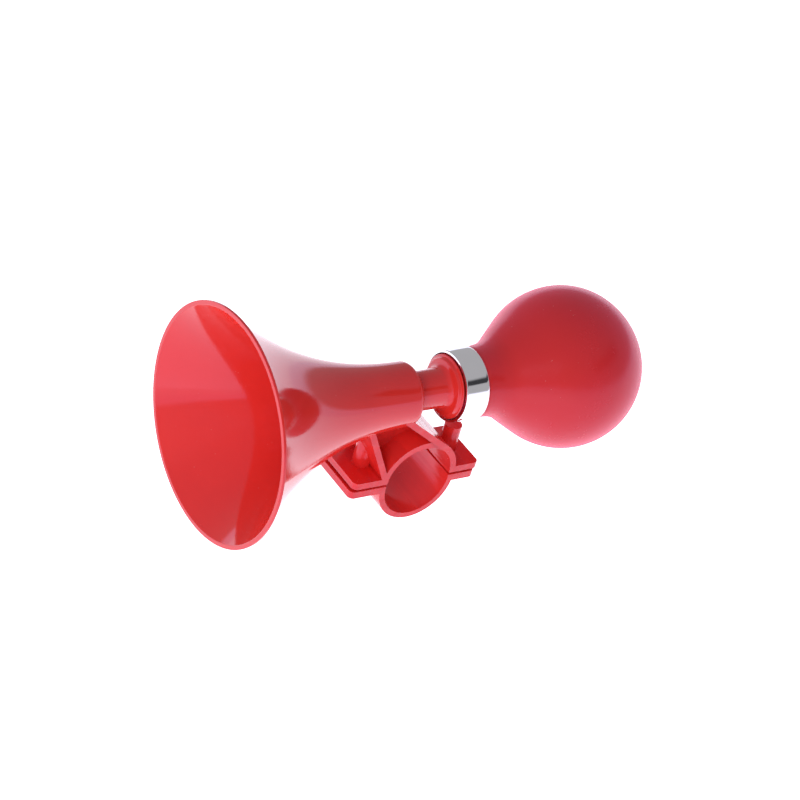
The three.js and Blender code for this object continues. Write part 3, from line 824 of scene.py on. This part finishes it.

# %% [markdown]
# ### Bulb
#
# The bulb is blown from soft vinyl, so it is a hollow ball whose wall flows into the neck in one
# smooth curve. A blown ball is never quite round. A slow, very shallow swell is added to the points,
# fading out at the neck where the ring holds it true.

# %% Hollow bulb with its flowing neck
CENTRE = behind_mouth(BULB_CENTRE_X) / MM
BALL = BULB_RADIUS / MM
WALL = 2.2
NECK_END, NECK_RADIUS = 108, 20.17     # where the neck's curve meets the ball
SWELL_START, SWELL_RUN = 96, 12        # the swell grows from nothing over this run
SWELL_HEIGHT, SWELL_INSET = 0.00022, 0.00006
neck_curve = curve_through(
    [(88.2, 10.6), (89.4, 10.85), (92, 10.95), (95, 11.45), (98, 12.75), (102, 15.7),
     (NECK_END, NECK_RADIUS)], 6)
join_angle = math.degrees(math.acos((NECK_END - CENTRE) / BALL))
bulb_profile = [
    (81.4, 8.6), (81.4, 10.0), (82.2, 10.1), (87.6, 10.1),
    *neck_curve, *arc((CENTRE, 0), BALL, join_angle - 2.5, 0, 52)[:-1], (CENTRE + BALL, 0),
    (CENTRE + BALL - WALL, 0), *arc((CENTRE, 0), BALL - WALL, 4, join_angle, 26),
    (99.5, 11.0), (97.0, 9.7), (95.0, 9.0), (92.0, 8.6), (86.0, 8.6),
]
bulb = spin("bulb_ball", bulb_profile, bulb_vinyl, columns=144)
for vertex in bulb.data.vertices:
    away = vertex.co - Vector((BULB_CENTRE_X, 0, AXIS_Z))
    from_neck = min(max((behind_mouth(vertex.co.x) / MM - SWELL_START) / SWELL_RUN, 0), 1)
    swell = solid_noise.noise(vertex.co * 38) * SWELL_HEIGHT * from_neck
    vertex.co += away.normalized() * (swell - SWELL_INSET * from_neck)
for face in bulb.data.polygons:
    face.use_smooth = True
place_piece(bulb, "horn", "red_rubber", "bulb")
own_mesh(bulb)

# %% [markdown]
# ## The clamp
#
# The clamp is two plain mouldings: a saddle that carries the horn on two webs, and a strap that goes
# under the handlebar. Their shapes are exact in the frame already, but the frame's edges are knife
# sharp and a moulding's never are. So each half starts from a copy of its frame mesh, whose loose
# triangles are welded and joined back to whole faces, and then every edge gets a small round.

# %% Saddle and strap from welded copies
STEM_OUTSIDE = 0.0060
WORKING_GAP, ROOT_DEPTH = 0.0003, 0.0002
CLAMP_ROUND = 0.00030


def moulding_from(node, name, material, edge, reshape=None):
    """A welded copy of a frame node with whole faces and rounded edges."""
    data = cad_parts[node].data.copy()
    data.name = name
    data.materials.clear()
    data.materials.append(material)
    for face in data.polygons:
        face.material_index = 0
    for attribute in [a.name for a in data.attributes if a.name.startswith(("UV", "custom"))]:
        data.attributes.remove(data.attributes[attribute])
    piece = bpy.data.objects.new(name, data)
    bpy.context.scene.collection.objects.link(piece)

    def weld(mesh):
        bmesh.ops.remove_doubles(mesh, verts=mesh.verts, dist=0.00002)
        if reshape:
            reshape(mesh)
        bmesh.ops.dissolve_limit(mesh, angle_limit=math.radians(0.8), verts=mesh.verts,
                                 edges=mesh.edges)

    edit(piece, weld)
    soften(piece, edge, segments=2, angle=32, smooth=32)
    return piece


def horn_radius(x):
    """How far the outside of the bell or the stem stands from the horn's line at x."""
    left = 1 - behind_mouth(x) / BELL_LENGTH
    if left <= 0:
        return STEM_OUTSIDE
    return COLLAR_RADIUS + (MOUTH_RADIUS - COLLAR_RADIUS) * left ** FLARE_POWER


def root_webs(mesh):
    """Moves the tops of the webs just into the horn's wall, as one moulding has no gap there."""
    moved = 0
    for vertex in mesh.verts:
        upright = Vector((0, vertex.co.y, vertex.co.z - AXIS_Z))
        gap = upright.length - horn_radius(vertex.co.x)
        if 0 < gap < WORKING_GAP * 2:
            vertex.co -= upright.normalized() * (gap + ROOT_DEPTH)
            moved += 1
    print("web points rooted in the horn:", moved)


saddle = moulding_from("clamp_saddle", "clamp_saddle_moulding", clamp_red, CLAMP_ROUND, root_webs)
place_piece(saddle, "horn", "red_plastic", "clamp_saddle")
strap = moulding_from("clamp_strap", "clamp_strap_moulding", clamp_red, CLAMP_ROUND)
place_piece(strap, "strap", "red_plastic", "clamp_strap")

# %% [markdown]
# ## Screws, by rule
#
# Two short tapping screws come up through the strap and bite into the bosses. A screw is what a
# tree of nodes does best: a thread is one small pointed section that follows a spiral, and the pan
# head is a rolled-up grid with a cross cut out of it. The tree makes a screw at the origin, and it is
# run once for each place.

# %% The screw's rule as a tree
screw_low, screw_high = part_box("mouth_side_screw")
HEAD_HEIGHT = 0.0019
SHANK_LENGTH = screw_high.z - screw_low.z - HEAD_HEIGHT
HEAD_COLUMNS, HEAD_ROWS = 40, 14
PAN_POWER = 0.42     # below 1, so that the head is flat on top and steep at its side
screw_tree, size = geometry_tree("screw_rule", {
    "Head Radius": 0.00245, "Head Height": HEAD_HEIGHT, "Core Radius": 0.00112,
    "Thread Radius": 0.00145,
    "Shank Length": SHANK_LENGTH, "Pitch": 0.0011, "Cross Width": 0.0008, "Cross Span": 0.0028,
    "Cross Depth": 0.0011})
size = size.outputs
grid, column, row = rolled_grid(screw_tree, HEAD_COLUMNS, HEAD_ROWS)
dome = calc(screw_tree, "DIVIDE", calc(screw_tree, "SUBTRACT", row, 1.0), HEAD_ROWS - 2.0, clamp=True)
dome_turn = calc(screw_tree, "MULTIPLY", dome, math.pi / 2)
fall = calc(screw_tree, "MAXIMUM", calc(screw_tree, "COSINE", dome_turn), 0.0)
fall = calc(screw_tree, "POWER", fall, PAN_POWER)
out = calc(screw_tree, "MULTIPLY", calc(screw_tree, "MINIMUM", row, 1.0), fall)
head_radius = calc(screw_tree, "MULTIPLY", out, size["Head Radius"])
head_low = calc(screw_tree, "MULTIPLY", calc(screw_tree, "MULTIPLY", calc(
    screw_tree, "SINE", dome_turn), -1.0), size["Head Height"])
head = set_round(screw_tree, grid, column, HEAD_COLUMNS, head_low, head_radius, "Z")


def cube_at(tree, size_x, size_y, size_z, height):
    """A box that stands across the head, at a height given by a socket."""
    box_size = add(tree, "ShaderNodeCombineXYZ")
    for socket, value in zip(box_size.inputs, (size_x, size_y, size_z)):
        tree.links.new(value, socket)
    cube = tree.nodes.new("GeometryNodeMeshCube")
    tree.links.new(box_size.outputs[0], cube.inputs["Size"])
    spot = add(tree, "ShaderNodeCombineXYZ")
    tree.links.new(height, spot.inputs["Z"])
    moved = tree.nodes.new("GeometryNodeTransform")
    tree.links.new(cube.outputs["Mesh"], moved.inputs["Geometry"])
    tree.links.new(spot.outputs[0], moved.inputs["Translation"])
    return moved.outputs[0]


# %% Cross recess, spiral thread and core
below = calc(screw_tree, "MULTIPLY", size["Head Height"], -1.0)
tall = calc(screw_tree, "MULTIPLY", size["Cross Depth"], 2.0)
recess = screw_tree.nodes.new("GeometryNodeMeshBoolean")
recess.operation = "DIFFERENCE"
screw_tree.links.new(head, recess.inputs["Mesh 1"])
for cross_x, cross_y in (("Cross Width", "Cross Span"), ("Cross Span", "Cross Width")):
    bar = cube_at(screw_tree, size[cross_x], size[cross_y], tall, below)
    screw_tree.links.new(bar, recess.inputs["Mesh 2"])

spiral = screw_tree.nodes.new("GeometryNodeCurveSpiral")
spiral.inputs["Resolution"].default_value = 28
thread_length = calc(screw_tree, "MULTIPLY", size["Shank Length"], 0.86)
thread_turns = calc(screw_tree, "DIVIDE", thread_length, size["Pitch"])
screw_tree.links.new(thread_turns, spiral.inputs["Rotations"])
screw_tree.links.new(size["Core Radius"], spiral.inputs["Start Radius"])
screw_tree.links.new(size["Core Radius"], spiral.inputs["End Radius"])
screw_tree.links.new(thread_length, spiral.inputs["Height"])
crest = screw_tree.nodes.new("GeometryNodeCurvePrimitiveCircle")
crest.inputs["Resolution"].default_value = 4
screw_tree.links.new(calc(screw_tree, "SUBTRACT", size["Thread Radius"], size["Core Radius"]),
                     crest.inputs["Radius"])
thread = screw_tree.nodes.new("GeometryNodeCurveToMesh")
thread.inputs["Fill Caps"].default_value = True
screw_tree.links.new(spiral.outputs["Curve"], thread.inputs["Curve"])
screw_tree.links.new(crest.outputs["Curve"], thread.inputs["Profile Curve"])

CORE_COLUMNS, CORE_ROWS = 24, 8
POINT_SHARE = 0.12     # share of the shank that tapers to the point
core_grid, column, row = rolled_grid(screw_tree, CORE_COLUMNS, CORE_ROWS)
core_share = calc(screw_tree, "SUBTRACT", row, 1.0)
core_share = calc(screw_tree, "DIVIDE", core_share, CORE_ROWS - 3.0, clamp=True)
core_full = calc(screw_tree, "MULTIPLY", size["Shank Length"], 1.0 - POINT_SHARE)
core_up = calc(screw_tree, "MULTIPLY", core_share, core_full)
point = calc(screw_tree, "SUBTRACT", row, CORE_ROWS - 2.0, clamp=True)
core_point = calc(screw_tree, "MULTIPLY", size["Shank Length"], POINT_SHARE)
core_up = calc(screw_tree, "ADD", core_up, calc(screw_tree, "MULTIPLY", point, core_point))
core_out = calc(screw_tree, "MULTIPLY", calc(screw_tree, "MINIMUM", row, 1.0), size["Core Radius"])
core_out = calc(screw_tree, "MULTIPLY", core_out, calc(screw_tree, "SUBTRACT", 1.0, point))
core = set_round(screw_tree, core_grid, column, CORE_COLUMNS, core_up, core_out, "Z")
screw_parts = screw_tree.nodes.new("GeometryNodeJoinGeometry")
for part_made in (recess.outputs["Mesh"], thread.outputs["Mesh"], core):
    screw_tree.links.new(part_made, screw_parts.inputs[0])
close_tree(screw_tree, screw_parts.outputs[0], zinc)
print("screw rule:", len(screw_tree.nodes), "nodes")

# %% Two screws, each on its own body
for side in ("mouth", "bulb"):
    node = f"{side}_side_screw"
    low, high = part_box(node)
    screw = run_tree(screw_tree, f"{side}_side_tapping_screw", {"Shank Length": SHANK_LENGTH}, zinc)
    middle = (low + high) / 2
    screw.data.transform(Matrix.Translation((middle.x, middle.y, low.z + HEAD_HEIGHT)))
    edit(screw, lambda mesh: None)
    for number in bmesh_sharp_edges(screw, 30):
        screw.data.edges[number].use_edge_sharp = True
    for face in screw.data.polygons:
        face.use_smooth = True
    place_piece(screw, node, "zinc_steel", node)

# %% [markdown]
# ## The reed
#
# The reed makes the sound. It sits in the spigot and the bulb's neck, out of sight. The frame's own
# shapes are right for these small pieces, so they keep them and get finishes with grain and wear
# of the right size.

# %% Finishes for the reed's frame nodes
REED_FINISHES = {"reed_block": reed_cream, "reed_tongue": reed_brass, "reed_clip": reed_brass}
for node, material in REED_FINISHES.items():
    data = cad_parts[node].data
    data.materials.clear()
    data.materials.append(material)
    print(node, "finished as", material.name)

# %% [markdown]
# ## Both sizes at the end
#
# The looks are meant to keep the object's size, so the two boxes are printed side by side.

# %% Print both boxes and finish
visual_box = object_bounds()
boxes = {
    "cad": [list(corner) for corner in cad_box],
    "visual": [list(corner) for corner in visual_box],
}
for name, (low, high) in boxes.items():
    print(name, [round((b - a) / MM, 2) for a, b in zip(low, high)], "mm")
